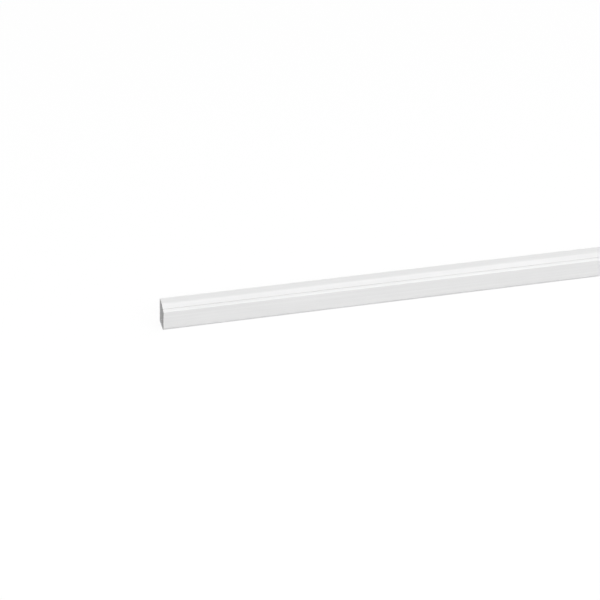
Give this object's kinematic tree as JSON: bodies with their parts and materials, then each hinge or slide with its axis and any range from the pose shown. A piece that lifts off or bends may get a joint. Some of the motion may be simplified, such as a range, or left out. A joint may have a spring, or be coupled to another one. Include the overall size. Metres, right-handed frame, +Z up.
{
  "type": "cord cover raceway",
  "caption": "Straight thin-walled plastic channel with a bevelled top front edge and a snap seam along the bevel, fixed along a wall to hide cords.",
  "frame": {"origin": "under the middle of the length, on the face that the raceway stands on, midway between its front and its wall face", "axes": "+X along the length, +Y from the front towards the wall, +Z up"},
  "size_m": [1.524, 0.0126, 0.0191],
  "materials": {
    "white_pvc": "satin, as extruded"
  },
  "bodies": {
    "root": {"raceway": "white_pvc"}
  },
  "joints": []
}
